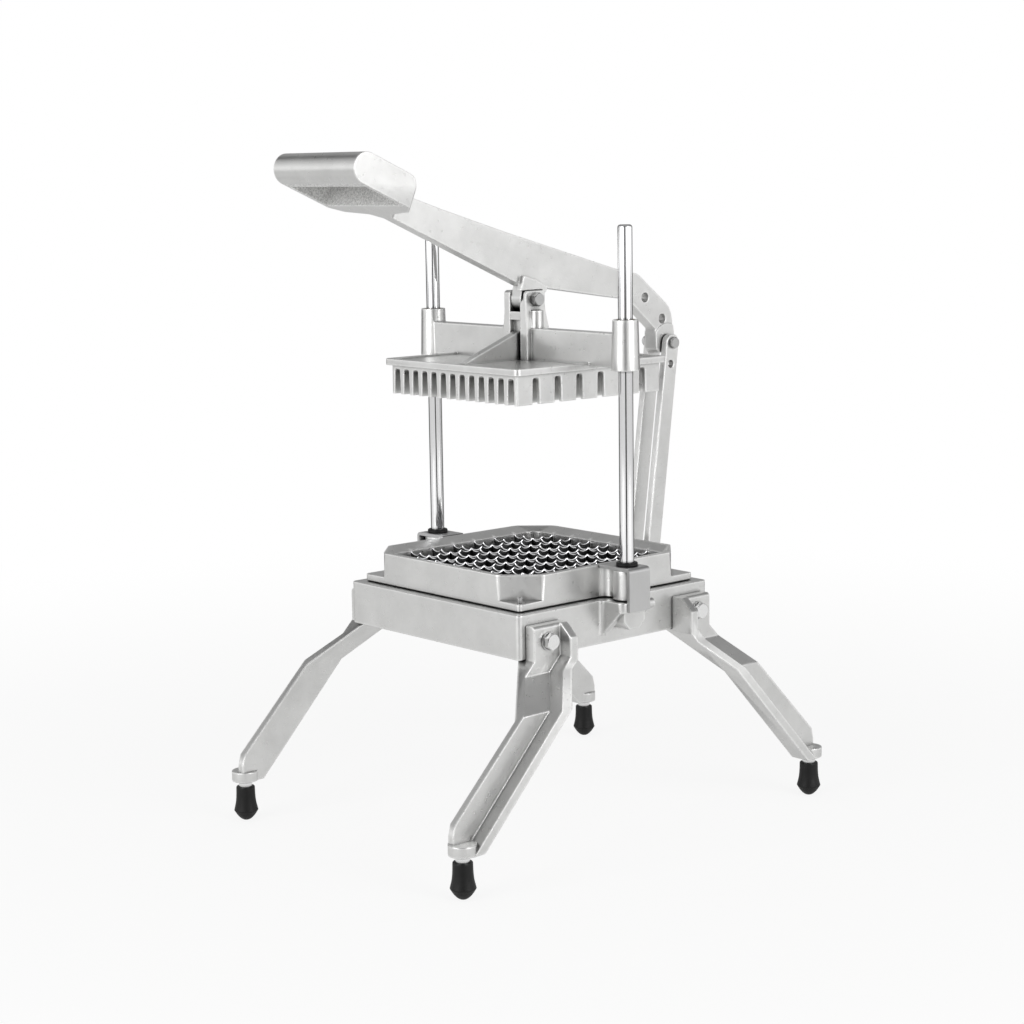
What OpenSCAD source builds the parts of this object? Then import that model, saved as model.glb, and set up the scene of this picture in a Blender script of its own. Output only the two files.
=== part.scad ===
// Vertical push cutter for vegetables: a hand lever drives a pusher head down two
// guide posts and through a square grid of scalloped blades, on a base with four
// splayed legs. +Z is up, the operator stands on the -Y side, and the origin is
// the middle of the feet's footprint, on the table.

/* [Base] */
// Height of the base ring
base_h = 38.4; // [36:0.1:46]
// Height of the base's underside above the table
base_z = 173.7; // [165:0.1:190]
// Wall thickness of the base ring
base_wall = 8; // [6:0.5:10]
// Radius of the base's upright corners
base_corner_r = 4; // [2:0.5:6]
// Thickness of the deck that carries the blade frame
deck_t = 9; // [7:0.5:11]
// Step from the blade opening out to the drop opening in the deck
drop_step = 1.5; // [0.5:0.5:4]
// Height of the raised seat under the blade frame
seat_h = 0.8; // [0.4:0.1:1.5]

/* [Blade frame] */
// Distance of the blade frame's sides in from the base's sides
frame_inset = 9.1; // [6:0.1:11]
// Width of the blade frame from its sides in to the blade opening
frame_rim = 16.1; // [14:0.1:22]
// Height of the blade frame
frame_h = 28.4; // [26:0.1:31]
// Height of the ledges in the frame's cut corners
ledge_h = 6.1; // [4:0.1:8]
// Leg of the frame's 45 degree corner cuts
frame_cut = 27.5; // [22:0.5:30]
// Wall thickness of the blade frame
frame_wall = 6; // [5:0.5:7]
// Side of the square blade opening
cut_w = 177.8; // [168:0.1:181]
// Radius in the corners of the blade opening
cut_r = 12; // [4:0.5:12]
// How far the rim slopes down to the blade opening
rim_drop = 4.5; // [1:0.1:4.7]
// Width of the rim's flat outer edge
rim_flat = 5; // [3:0.5:8]
// Diameter of the locating stud in the front right corner
stud_d = 4; // [3:0.1:5]
// Height of the locating stud above its ledge
stud_h = 5; // [3:0.5:8]

/* [Blades] */
// Spacing of the blades
blade_pitch = 25.4; // [22:0.1:26]
// Number of blades each way
blade_count = 6; // [4:2:6]
// Thickness of a blade
blade_t = 1.2; // [0.8:0.1:1.6]
// Height of a blade at its peaks
blade_h = 19.6; // [17:0.1:19.6]
// Distance of the blades' peaks below the frame's top
blade_drop = 4.8; // [4.5:0.1:6]
// Depth of the scallops in the cutting edge
scallop_depth = 2.8; // [1.5:0.1:3.5]
// How far the blades' ends reach into the frame's wall
blade_seat = 4.5; // [3:0.1:5.5]

/* [Guide posts] */
// Distance of the posts' axes out from the base's sides
post_out = 13.4; // [12:0.1:17]
// Diameter of the guide posts
post_d = 12.6; // [12:0.1:13.4]
// Height of the posts' top ends above the table
post_top = 533.6; // [520:0.1:560]
// Rounding of the posts' top ends
post_round = 2.5; // [1:0.5:4]
// Depth of the posts' sockets in the base
post_seat = 24; // [20:0.5:26]
// Diameter of the frame's bosses round the posts
boss_d = 24.6; // [23:0.1:26]
// Thickness of the webs that carry those bosses
boss_web_t = 10; // [8:0.5:14]
// Diameter of the rubber stop rings
ring_d = 18.7; // [17:0.1:20]
// Thickness of the rubber stop rings
ring_t = 3.2; // [2:0.1:5]

/* [Hold-down straps] */
// Width of a strap
strap_w = 24.9; // [22:0.1:26]
// Thickness of a strap
strap_t = 3; // [2.5:0.1:3.5]
// Length of a strap's upright leg
strap_drop = 37.8; // [34:0.1:37.9]
// Distance of a strap's outer face from the post's axis
strap_out = 15.6; // [15.5:0.1:18]
// Radius of the strap's bend
strap_bend_r = 4; // [3.5:0.5:6]

/* [Pusher head] */
// Overhang of the pusher plate past the fingers, at the sides
plate_lip_x = 5.3; // [2:0.1:8]
// Overhang of the pusher plate past the fingers, front and rear
plate_lip_y = 4.2; // [2:0.1:8]
// Thickness of the pusher plate
plate_t = 6; // [5:0.1:8]
// Radius of the plate's corners
plate_r = 4; // [2:0.5:8]
// Width of the raised rim round the plate's top
plate_rim = 3.5; // [2:0.5:5]
// Depth of the shallow recess inside that rim
plate_dip = 1.7; // [0.5:0.1:2.5]
// Gap between the fingers and the blade opening, at the sides
finger_gap_x = 5; // [2:0.1:6]
// Gap between the fingers and the blade opening, front and rear
finger_gap_y = 3.4; // [2:0.1:6]
// Length of the fingers below the plate
finger_h = 25.6; // [22:0.1:26]
// Solid thickness between the plate and the slots
slot_roof = 3.2; // [2:0.1:5]
// Number of slots across the front
front_slots = 13; // [9:4:13]
// Width of the slots at their tops
slot_w = 6.8; // [6:0.1:7.4]
// How much the slots widen towards the fingers' tips
slot_draft = 1.4; // [0.5:0.1:1.8]
// Height of the crossbar above the plate
bar_h = 26.4; // [22:0.1:27]
// Thickness of the crossbar
bar_t = 14; // [10:0.5:16]
// Outer diameter of the bushings at the top
bush_top_d = 22.2; // [22:0.1:24]
// Outer diameter of the bushings at the bottom
bush_low_d = 24.4; // [23:0.1:26]
// Length of the bushings
bush_h = 43.4; // [38:0.1:46]
// How far the bushings reach below the plate's top
bush_below = 4.8; // [4:0.1:5.8]
// Wall thickness of the bushing liners
liner_t = 1.6; // [1:0.1:2]
// Length of the gussets in front of and behind the clevis
gusset_l = 63; // [50:1:70]
// Height of the gussets where they meet the clevis
gusset_h = 23; // [18:0.5:24]
// Thickness of the gussets
gusset_t = 8; // [6:0.5:12]

/* [Lever] */
// Thickness of the lever
lever_t = 13; // [11:0.1:14]
// Height of the clevis pivot above the pusher plate's top
pivot_h = 51.8; // [50:0.1:56]
// Radius of the lever's tongue in the clevis
tongue_r = 10.5; // [10:0.1:10.8]
// Thickness of each clevis ear
ear_t = 7.5; // [6:0.1:9]
// Side gap between the lever and the clevis ears
ear_gap = 0.3; // [0.2:0.1:0.6]
// Width of the ears at their tops
ear_w = 23; // [21:0.5:24]
// How much wider the ears' feet are at the rear
ear_flare = 3; // [1:0.5:4]
// Height of the ears above the pivot
ear_rise = 7.6; // [7:0.1:9]
// Thickness of the shelf under the lever's tongue
shelf_t = 7.3; // [5:0.1:8]
// Upward tilt of the raised lever
lever_tilt = 23.5; // [23.5:0.1:24]
// Distance of the rear pivot behind the clevis pivot
rear_y = 173.4; // [172:0.1:175]
// Distance of the rear pivot below the clevis pivot
rear_dz = 49.3; // [48:0.1:50.5]
// Radius of the hub round the rear pivot
hub_r = 11.3; // [10.5:0.1:12]
// Diameter of the spare holes
spare_d = 9; // [7:0.1:10]
// Height of the raised discs on the hub's faces
hub_pad = 1; // [0.5:0.1:1.2]
// Radius of those discs
hub_pad_r = 18; // [16:0.1:18.4]

/* [Handle] */
// Width of the handle
handle_w = 110; // [90:1:130]
// Distance from the clevis pivot to the handle's rear face
handle_u = 192.5; // [185:0.5:200]
// Depth of the handle from rear face to grip
handle_d = 65; // [60:0.5:70]
// Radius of the handle's front grip
grip_r = 13.1; // [12:0.1:14]
// Wall thickness of the handle
handle_wall = 5; // [4:0.5:6]

/* [Links] */
// Thickness of each link
link_t = 6.8; // [5:0.1:8]
// Width of each link
link_w = 16; // [14:0.5:17]
// Gap between the lever's faces and the links
link_gap = 1.7; // [1.6:0.1:2.2]
// Distance between the links' pivots
link_l = 229.8; // [229:0.1:231]
// Backward lean of the links when the lever is up
link_lean = 7.7; // [7.6:0.1:7.8]
// Distance from the rear pivot down to the links' spare holes
spare_drop = 20; // [18:0.5:24]

/* [Pivot bolts] */
// Diameter of the pivot bolts
pivot_d = 6; // [5.5:0.1:8.4]
// Distance across the flats of the pivot bolts' heads
pivot_af = 9.4; // [9:0.1:13]
// Height of the pivot bolts' heads
pivot_head = 4; // [3:0.1:6.5]
// Diameter of the clevis bolt
clevis_d = 7; // [6:0.1:8]
// Distance across the flats of the clevis bolt's head
clevis_af = 10.8; // [10:0.1:11.5]
// Height of the clevis bolt's head
clevis_head = 6.3; // [4:0.1:6.5]
// Thickness of the clevis bolt's nut
clevis_nut_t = 5; // [3:0.1:6]
// Thickness of the nuts
nut_t = 6.5; // [5:0.1:7]

/* [Legs] */
// Distance of a leg's outer edge in from the base's corner
leg_inset = 7.5; // [4:0.1:12]
// Width of a leg along the base's side
leg_w = 37.5; // [35:0.1:39]
// Thickness of a leg's web at the base
leg_web = 10.9; // [10:0.1:12]
// Thickness of a leg's flange
leg_flange = 8.2; // [7:0.1:9]
// How far the flange stands out from the base's side
flange_out = 24.2; // [22:0.1:26]
// How far the legs step outwards below the base
leg_step = 25.5; // [22:0.1:28]
// Height of the leg's top above the base's underside
leg_rise = 29.3; // [28:0.1:31]
// Distance of a foot's axis out from the base's side
foot_out_x = 38.1; // [36:0.1:39]
// Distance of a foot's axis past the base's front or rear
foot_out_y = 97.9; // [96:0.1:100]
// Height of the leg's underside above the table
leg_foot_z = 36.5; // [36:0.1:42]
// Diameter of the pad over each foot
pad_d = 23.8; // [23:0.1:26]
// Diameter of the leg bolts
leg_bolt_d = 8; // [7:0.1:9]
// Distance across the flats of the leg bolts
leg_bolt_af = 13; // [12:0.1:14]
// Height of the leg bolts' heads
leg_bolt_head = 5.3; // [4:0.1:6.5]
// Diameter of the washers
washer_d = 16; // [15:0.1:17]
// Thickness of the washers
washer_t = 1.6; // [1:0.1:2]

/* [Feet] */
// Largest diameter of a rubber foot
foot_d = 21.8; // [20:0.1:24]
// Diameter of a rubber foot at its top
foot_top_d = 16.5; // [15:0.1:18]
// Height of a rubber foot
foot_h = 30.9; // [28:0.1:31.5]
// Diameter of the foot's flat spot
foot_flat_d = 6; // [5:0.1:8]
// Diameter of the steel stem
stem_d = 12; // [10:0.1:12.5]

/* [Fits] */
// Radial clearance of running fits
run_gap = 0.05; // [0.02:0.01:0.1]
// Radial clearance of bolts in their holes
bolt_gap = 0.2; // [0.1:0.05:0.4]
// Clearance of blades and fixed pieces in their seats
fix_gap = 0.05; // [0.02:0.01:0.1]

/* [Hidden] */
$fn = 48;
// Reach of a cutting shape past what it cuts
past = 1;
base_top = base_z + base_h;
frame_z = base_top + seat_h;
frame_top = frame_z + frame_h;
// The base ring stands round the blade frame, and the frame round its opening
frame_w = cut_w + 2 * frame_rim;
base_w = frame_w + 2 * frame_inset;
base_half = base_w / 2;
frame_half = frame_w / 2;
cut_half = cut_w / 2;
drop_w = cut_w + 2 * drop_step;
// Distances of the rim's flat edge and of the opening's round corner along the diagonal
corner_flat = (frame_w - frame_cut) / sqrt(2) - rim_flat * 0.6;
corner_cut = (cut_half - cut_r) * sqrt(2) + cut_r;
// Guide posts, straps and stop rings
post_x = base_half + post_out;
post_r = post_d / 2;
post_z = base_top - post_seat;
strap_inner_x = frame_half + 0.3;
strap_face_x = post_x + strap_out;
lug_x = strap_face_x - strap_t;
strap_top = base_top + 29.8;
boss_top = strap_top - strap_t;
ring_top = strap_top + ring_t;
lug_h = 9;
lug_half = 17.6;
lug_rib_y = 10.2;
lug_foot_z = base_z + 8;
lug_foot_half = 12.3;
lug_tip_z = base_top - 24.8;
lug_tip_half = 6;
lug_round = 7;
lug_fillet = 4.4;
web_fillet = 9;
// Blades
blade_top = frame_top - blade_drop;
blade_z = blade_top - blade_h;
blade_half = cut_half + blade_seat;
blade_at = [for (i = [0 : blade_count - 1]) (i - (blade_count - 1) / 2) * blade_pitch];
scallop_pitch = blade_pitch / 2;
scallop_r = (pow(scallop_pitch / 2, 2) + pow(scallop_depth, 2)) / (2 * scallop_depth);
scallop_side = ceil(blade_half / scallop_pitch);
inner_wall = blade_seat + 2.5;
fingers_w = cut_w - 2 * finger_gap_x;
fingers_d = cut_w - 2 * finger_gap_y;
plate_w = fingers_w + 2 * plate_lip_x;
plate_d = fingers_d + 2 * plate_lip_y;
// Travel: the bushings come down on the stop rings
travel = 165;
stop_gap = 0.3;
bush_z = ring_top + stop_gap + travel;
plate_top = bush_z + bush_below;
plate_z = plate_top - plate_t;
plate_floor = plate_top - plate_dip;
plate_foot = plate_floor - 1;
finger_z = plate_z - finger_h;
slot_top = plate_z - slot_roof;
front_slot_at = [for (i = [0 : front_slots - 1]) (i - (front_slots - 1) / 2) * scallop_pitch];
bush_top = bush_z + bush_h;
bore_r = post_r + run_gap;
liner_r = bore_r + liner_t;
bar_top = plate_top + bar_h;
// Lever, pivots and links
pivot_z = plate_top + pivot_h;
lever_half = lever_t / 2;
ear_in = lever_half + ear_gap;
ear_out = ear_in + ear_t;
ear_top = pivot_z + ear_rise;
pad_out = lever_half + 4.5;
pad_gap = 0.4;
lever_swing = 57;
shelf_top = pivot_z - tongue_r - 0.4;
rear_z = pivot_z - rear_dz;
link_in = lever_half + link_gap;
link_out = link_in + link_t;
hub_half = lever_half + hub_pad;
thin_washer_in = hub_half + 0.1;
low_y = rear_y - link_l * sin(link_lean);
low_z = rear_z - link_l * cos(link_lean);
pivot_r = pivot_d / 2;
clevis_r = clevis_d / 2;
handle_half = handle_w / 2;
grip_u = handle_u + handle_d - grip_r;
lever_low = 7.6;
handle_top = lever_low + 2 * grip_r;
grip_v = lever_low + grip_r;
neck_half = 11.5;
// Legs and feet
leg_top = base_z + leg_rise;
leg_step_top = base_z - 10;
leg_far = base_half - leg_inset;
leg_y = leg_far - leg_w;
foot_x = base_half + foot_out_x;
foot_y = base_half + foot_out_y;
web_x = base_half + leg_web;
flange_x = base_half + flange_out;
leg_under_x = base_half - base_wall;
leg_inner_x = web_x + leg_step - 6.8;
bolt_y = leg_y + leg_flange + 13.3;
bolt_z = base_z + 15.5;
leg_bolt_r = leg_bolt_d / 2;
pad_h = 9.5;
foot_r = foot_d / 2;
foot_centre_z = sqrt(pow(foot_r, 2) - pow(foot_flat_d / 2, 2));
stem_r = stem_d / 2;
stem_z = 14;
stem_top = leg_foot_z + pad_h - 2;
foot_waist_z = 25;
foot_waist_r = foot_top_d / 2 + 0.5;

// A shape drawn in the Y-Z plane, extruded along X from x0 to x1
module along_x(x0, x1) {
    translate([x0, 0, 0]) rotate([90, 0, 90]) linear_extrude(x1 - x0) children();
}

// A shape drawn in the X-Z plane, extruded along Y from y0 to y1
module along_y(y0, y1) {
    translate([0, y1, 0]) rotate([90, 0, 0]) linear_extrude(y1 - y0) children();
}

// A rectangle with rounded corners, centred
module round_rect(w, d, r) {
    square([w - 2 * r, d], center = true);
    square([w, d - 2 * r], center = true);
    for (x = [-1, 1], y = [-1, 1]) translate([x * (w / 2 - r), y * (d / 2 - r)]) circle(r);
}

// A rod on the X axis from x0 to x1
module rod_x(x0, x1, r) {
    translate([x0, 0, 0]) rotate([0, 90, 0]) cylinder(h = x1 - x0, r = r);
}

// A washer on the X axis from x0 to x1
module washer_x(x0, x1, r, hole_r) {
    difference() {
        rod_x(x0, x1, r);
        rod_x(x0 - past, x1 + past, hole_r);
    }
}

// A hexagon on the X axis from x0 to x1, with its flats af apart
module hex_x(x0, x1, af) {
    translate([x0, 0, 0]) rotate([0, 90, 0]) cylinder(h = x1 - x0, r = af / 2 / cos(30), $fn = 6);
}

// A hexagon head with its outer corners turned off, its face towards side
module hex_head(x0, h, af, side) {
    intersection() {
        scale_x(side) hex_x(x0, x0 + h, af);
        scale_x(side) union() {
            rod_x(x0, x0 + h * 0.8, af);
            translate([x0 + h * 0.8, 0, 0]) rotate([0, 90, 0])
                cylinder(h = h * 0.2, r1 = af / 2 / cos(30), r2 = af / 2 * 0.97);
        }
    }
}

module scale_x(side) {
    if (side > 0) children();
    else mirror([1, 0, 0]) children();
}

// The square base ring with its deck, wall and the two post lugs
module base_casting() color("silver") difference() {
    union() {
        difference() {
            translate([0, 0, base_z]) linear_extrude(base_h) round_rect(base_w, base_w, base_corner_r);
            translate([0, 0, base_z - past]) linear_extrude(base_h - deck_t + past)
                round_rect(base_w - 2 * base_wall, base_w - 2 * base_wall, base_corner_r);
            translate([0, 0, base_z]) linear_extrude(base_h + past) round_rect(drop_w, drop_w, cut_r);
        }
        // Seat that lifts the blade frame off the deck
        translate([0, 0, base_top - deck_t / 2]) linear_extrude(deck_t / 2 + seat_h) difference() {
            square(frame_w - 4, center = true);
            round_rect(drop_w, drop_w, cut_r);
        }
        for (side = [-1, 1]) scale_x(side) post_lug();
        rear_lug();
    }
    for (side = [-1, 1]) translate([side * post_x, 0, post_z])
        cylinder(h = post_seat + 2, r = post_r + fix_gap);
    for (x = [-1, 1], y = [-1, 1]) scale_x(x) translate([0, y * bolt_y, bolt_z])
        rod_x(base_half - base_wall - past, base_half + past, leg_bolt_r + bolt_gap);
}

// One post's lug on the base's side: a block on two ribs, the socket's foot between them
module post_lug() {
    root = base_half - base_wall / 2;
    translate([0, 0, base_top - lug_h]) linear_extrude(lug_h) lug_plan();
    translate([post_x, 0, base_top - lug_h]) cylinder(h = lug_h + seat_h, r = post_r + 4);
    for (y = [-lug_half, lug_rib_y]) along_y(y, y + lug_half - lug_rib_y) polygon([
        [root, lug_foot_z], [base_half, lug_foot_z], [lug_x - 3.3, base_top - lug_h + 0.1],
        [lug_x - 3.3, base_top - lug_h + 1], [root, base_top - lug_h + 1]]);
    for (y = [-1, 1]) mirror([0, y > 0 ? 0 : 1, 0]) translate([0, 0, lug_foot_z])
        linear_extrude(base_top - lug_foot_z) translate([base_half, lug_half]) inner_fillet(lug_fillet);
    // Foot of the socket
    along_x(root, lug_x - 3.6) polygon([
        [-lug_foot_half, base_top - lug_h + 1], [-lug_foot_half, base_top - 18], [-lug_tip_half, lug_tip_z],
        [lug_tip_half, lug_tip_z], [lug_foot_half, base_top - 18], [lug_foot_half, base_top - lug_h + 1]]);
    // Round boss on the rear side
    translate([lug_x - 4.8, lug_half - 7, base_top - 4.6]) rotate([-90, 0, 0]) cylinder(h = 12.1, r = 4.5);
}

// A concave fillet for a corner at the origin
module inner_fillet(r) {
    difference() {
        translate([-1, -1]) square(r + 1);
        translate([r, r]) circle(r);
    }
}

module lug_plan() {
    translate([base_half - base_wall / 2, -lug_half])
        square([lug_x - base_half + base_wall / 2 - lug_round, 2 * lug_half]);
    translate([lug_x - 2 * lug_round, -lug_half + lug_round])
        square([2 * lug_round, 2 * (lug_half - lug_round)]);
    for (y = [-1, 1]) translate([lug_x - lug_round, y * (lug_half - lug_round)]) circle(lug_round);
}

// Lug behind the base that the links swing on, slotted to the rear
module rear_lug() {
    half = hub_half;
    difference() {
        along_x(-half, half) polygon([
            [base_half - base_wall / 2, base_z], [base_half - base_wall / 2, base_top - 2],
            [base_half + 4, base_top - 2], [low_y + 13, low_z + 19],
            [low_y + 13, low_z + 14], [low_y + 13, low_z - 13], [low_y + 9, low_z - 16],
            [base_half, base_z]]);
        translate([0, low_y, low_z]) rod_x(-half - past, half + past, pivot_r + bolt_gap);
        along_x(-half - past, half + past) polygon([
            [low_y, low_z - pivot_r - bolt_gap], [low_y + 40, low_z - pivot_r - bolt_gap],
            [low_y + 40, low_z + pivot_r + 7], [low_y + 4, low_z + pivot_r + 7],
            [low_y, low_z + pivot_r + bolt_gap]]);
    }
}

// The frame's outline, a square with its corners cut, d smaller on every side
module frame_plan(d) {
    h = frame_half - d;
    c = h - frame_cut + d * 0.6;
    polygon([[-c, -h], [c, -h], [h, -c], [h, c], [c, h], [-c, h], [-h, c], [-h, -c]]);
}

// Slots that take the blades' ends, running along Y
module blade_slots() {
    for (x = blade_at) translate([x - blade_t / 2 - fix_gap, -blade_half - fix_gap, blade_z])
        cube([blade_t + 2 * fix_gap, 2 * (blade_half + fix_gap), blade_h + fix_gap]);
}

// The blade frame with its sloped rim, corner ledges and post bosses
module blade_frame() color("gainsboro") difference() {
    union() {
        translate([0, 0, frame_z]) linear_extrude(ledge_h) round_rect(frame_w, frame_w, 3);
        translate([0, 0, frame_z]) linear_extrude(frame_h) frame_plan(0);
        for (side = [-1, 1]) scale_x(side) {
            translate([frame_half - 1, -boss_web_t / 2, frame_z])
                cube([post_x - frame_half, boss_web_t, boss_top - frame_z]);
            for (y = [-1, 1]) mirror([0, y > 0 ? 0 : 1, 0]) translate([0, 0, frame_z])
                linear_extrude(boss_top - frame_z)
                    translate([frame_half, boss_web_t / 2]) inner_fillet(web_fillet);
            translate([post_x, 0, frame_z])
                cylinder(h = boss_top - frame_z, r1 = boss_d / 2, r2 = boss_d / 2 - 0.5);
        }
    }
    translate([0, 0, frame_z - past]) linear_extrude(frame_h + 2 * past) round_rect(cut_w, cut_w, cut_r);
    // Rim sloping down to the opening
    intersection() {
        along_y(-frame_half, frame_half) rim_cut(frame_half - rim_flat, cut_half);
        along_x(-frame_half, frame_half) rim_cut(frame_half - rim_flat, cut_half);
        rotate([0, 0, 45]) along_x(-frame_w, frame_w) rim_cut(corner_flat, corner_cut);
        rotate([0, 0, -45]) along_x(-frame_w, frame_w) rim_cut(corner_flat, corner_cut);
    }
    // Hollow underneath, between the outer wall and the wall that holds the blades
    translate([0, 0, frame_z - past]) linear_extrude(frame_h - rim_drop - 4 + past) difference() {
        frame_plan(frame_wall);
        square(cut_w + 2 * inner_wall, center = true);
    }
    blade_slots();
    rotate([0, 0, 90]) blade_slots();
    for (side = [-1, 1]) translate([side * post_x, 0, frame_z - past])
        cylinder(h = frame_h, r = post_r + bolt_gap);
    translate([stud_at(), -stud_at(), frame_z + ledge_h / 2])
        cylinder(h = ledge_h, r = stud_d / 2 + fix_gap);
}

function stud_at() = frame_half - frame_cut / 4;

// What the rim's slope takes away between its flat edge and the opening
module rim_cut(edge, inner) {
    polygon([[-edge - 8, frame_top + 1.5], [-edge, frame_top], [-inner, frame_top - rim_drop],
             [inner, frame_top - rim_drop], [edge, frame_top], [edge + 8, frame_top + 1.5]]);
}

// Stud that locates the frame's front right corner
module locating_stud() color("white") translate([stud_at(), -stud_at(), frame_z + ledge_h / 2]) {
    cylinder(h = ledge_h / 2 + stud_h - 0.6, r = stud_d / 2);
    translate([0, 0, ledge_h / 2 + stud_h - 0.6]) cylinder(h = 0.6, r1 = stud_d / 2, r2 = stud_d / 2 - 0.6);
}

// One blade's outline: straight ends and back, scalloped edge
module blade_outline(top, low) {
    difference() {
        translate([-blade_half, low]) square([2 * blade_half, top - low]);
        for (i = [-scallop_side : scallop_side - 1])
            translate([(i + 0.5) * scallop_pitch, top + scallop_r - scallop_depth]) circle(scallop_r);
    }
}

// Blades that run front to back, notched from below where they cross
module lengthwise_blades() color("whitesmoke") for (x = blade_at) difference() {
    along_x(x - blade_t / 2, x + blade_t / 2) blade_outline(blade_top, blade_z);
    for (y = blade_at) translate([x - blade_t, y - blade_t / 2 - fix_gap, blade_z - past])
        cube([2 * blade_t, blade_t + 2 * fix_gap, blade_h / 2 + past]);
}

// Blades that run from side to side, notched from above where they cross
module crosswise_blades() color("whitesmoke") for (y = blade_at) difference() {
    along_y(y - blade_t / 2, y + blade_t / 2) blade_outline(blade_top, blade_z);
    for (x = blade_at) translate([x - blade_t / 2 - fix_gap, y - blade_t, blade_z + blade_h / 2])
        cube([blade_t + 2 * fix_gap, 2 * blade_t, blade_h / 2 + past]);
}

// One guide post with a rounded top
module guide_post(side) color("lightgray") translate([side * post_x, 0, post_z]) {
    h = post_top - post_z;
    cylinder(h = h - post_round, r = post_r);
    rotate_extrude() intersection() {
        union() {
            translate([0, h - post_round - 1]) square([post_r - post_round, post_round + 1]);
            translate([post_r - post_round, h - post_round]) circle(post_round);
        }
        translate([0, h - post_round]) square([post_r, post_round]);
    }
}

module left_guide_post() guide_post(-1);
module right_guide_post() guide_post(1);

// Bent strap over the frame's boss, its leg against the base's lug
module strap(side) color("silver") scale_x(side) difference() {
    along_y(-strap_w / 2, strap_w / 2) {
        translate([strap_inner_x, boss_top]) square([strap_face_x - strap_bend_r - strap_inner_x, strap_t]);
        translate([lug_x, strap_top - strap_drop]) square([strap_t, strap_drop - strap_bend_r]);
        translate([strap_face_x - strap_bend_r, strap_top - strap_bend_r]) difference() {
            intersection() {
                circle(strap_bend_r);
                square(strap_bend_r);
            }
            circle(strap_bend_r - strap_t);
        }
    }
    translate([post_x, 0, boss_top - past]) cylinder(h = strap_t + 2 * past, r = post_r + bolt_gap);
}

module left_strap() strap(-1);
module right_strap() strap(1);

// Rubber rings that stop the bushings
module stop_rings() color("black") for (side = [-1, 1])
translate([side * post_x, 0, strap_top]) difference() {
    union() {
        translate([0, 0, 0.6]) cylinder(h = ring_t - 1.2, r = ring_d / 2);
        cylinder(h = 0.6, r1 = ring_d / 2 - 0.6, r2 = ring_d / 2);
        translate([0, 0, ring_t - 0.6]) cylinder(h = 0.6, r1 = ring_d / 2, r2 = ring_d / 2 - 0.6);
    }
    translate([0, 0, -past]) cylinder(h = ring_t + 2 * past, r = post_r + fix_gap);
}

// A slot's outline, wider at the bottom, with a rounded roof
module slot_outline() {
    r = 2;
    low_w = slot_w + slot_draft;
    polygon([[-low_w / 2, finger_z - past], [-slot_w / 2, slot_top - r], [slot_w / 2, slot_top - r],
             [low_w / 2, finger_z - past]]);
    translate([-slot_w / 2 + r, slot_top - r - 0.01]) square([slot_w - 2 * r, r + 0.01]);
    for (x = [-1, 1]) translate([x * (slot_w / 2 - r), slot_top - r]) circle(r);
}

// One clevis ear's outline in the Y-Z plane
module ear_outline() {
    r = 3;
    half = ear_w / 2;
    translate([-half, plate_foot]) square([ear_w, ear_top - plate_foot - r]);
    translate([-half + r, ear_top - 2 * r]) square([ear_w - 2 * r, 2 * r]);
    for (y = [-1, 1]) translate([y * (half - r), ear_top - r]) circle(r);
    // Wider at the rear towards the foot
    polygon([[0, pivot_z - 5], [half, pivot_z - 5], [half + ear_flare, bar_top],
             [half + ear_flare, plate_foot], [0, plate_foot]]);
}

// A clevis ear, thicker towards its foot, with a round boss below the pivot
module ear() {
    intersection() {
        along_x(ear_in, ear_out + 2) ear_outline();
        along_y(-ear_w, ear_w) polygon([
            [ear_in, plate_foot], [ear_out + 1.8, plate_foot], [ear_out + 1.8, bar_top],
            [ear_out, pivot_z - 12], [ear_out, ear_top + 1], [ear_in, ear_top + 1]]);
    }
    translate([ear_out + 1.5, 0, bar_top - 1]) cylinder(h = pivot_z - 9.6 - bar_top + 1, r = 6);
}

// The pusher head: plate, fingers, crossbar, bushings, gussets and clevis
module pusher_head() color("lightgray") difference() {
    union() {
        difference() {
            translate([0, 0, plate_z]) linear_extrude(plate_t) round_rect(plate_w, plate_d, plate_r);
            translate([0, 0, plate_floor]) linear_extrude(plate_t)
                round_rect(plate_w - 2 * plate_rim, plate_d - 2 * plate_rim, plate_r);
        }
        difference() {
            translate([0, 0, finger_z]) linear_extrude(finger_h + 1) round_rect(fingers_w, fingers_d, 1.5);
            for (x = front_slot_at) translate([x, 0, 0]) along_y(-fingers_d, fingers_d) slot_outline();
            for (y = blade_at) translate([0, y, 0]) along_x(-fingers_w, fingers_w) slot_outline();
        }
        translate([-post_x, -bar_t / 2, plate_foot]) cube([2 * post_x, bar_t, bar_top - plate_foot]);
        for (side = [-1, 1]) {
            translate([side * post_x, 0, bush_z])
                cylinder(h = bush_h, r1 = bush_low_d / 2, r2 = bush_top_d / 2);
            scale_x(side) ear();
        }
        translate([-ear_in, -ear_w / 2 + 0.5, shelf_top - shelf_t]) cube([2 * ear_in, ear_w - 1, shelf_t]);
        translate([-ear_in, -bar_t / 2, bar_top - 1]) cube([2 * ear_in, bar_t, shelf_top - bar_top]);
        along_x(-gusset_t / 2, gusset_t / 2) for (y = [-1, 1]) polygon([
            [0, plate_foot], [0, plate_top + gusset_h], [y * ear_w / 2, plate_top + gusset_h],
            [y * (ear_w / 2 + gusset_l), plate_top - 0.8], [y * (ear_w / 2 + gusset_l), plate_foot]]);
    }
    for (side = [-1, 1]) translate([side * post_x, 0, bush_z - past])
        cylinder(h = bush_h + 2 * past, r = liner_r + fix_gap);
    translate([0, 0, pivot_z]) rod_x(-ear_out - 2, ear_out + 2, clevis_r + run_gap);
    pad_room();
}

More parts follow.
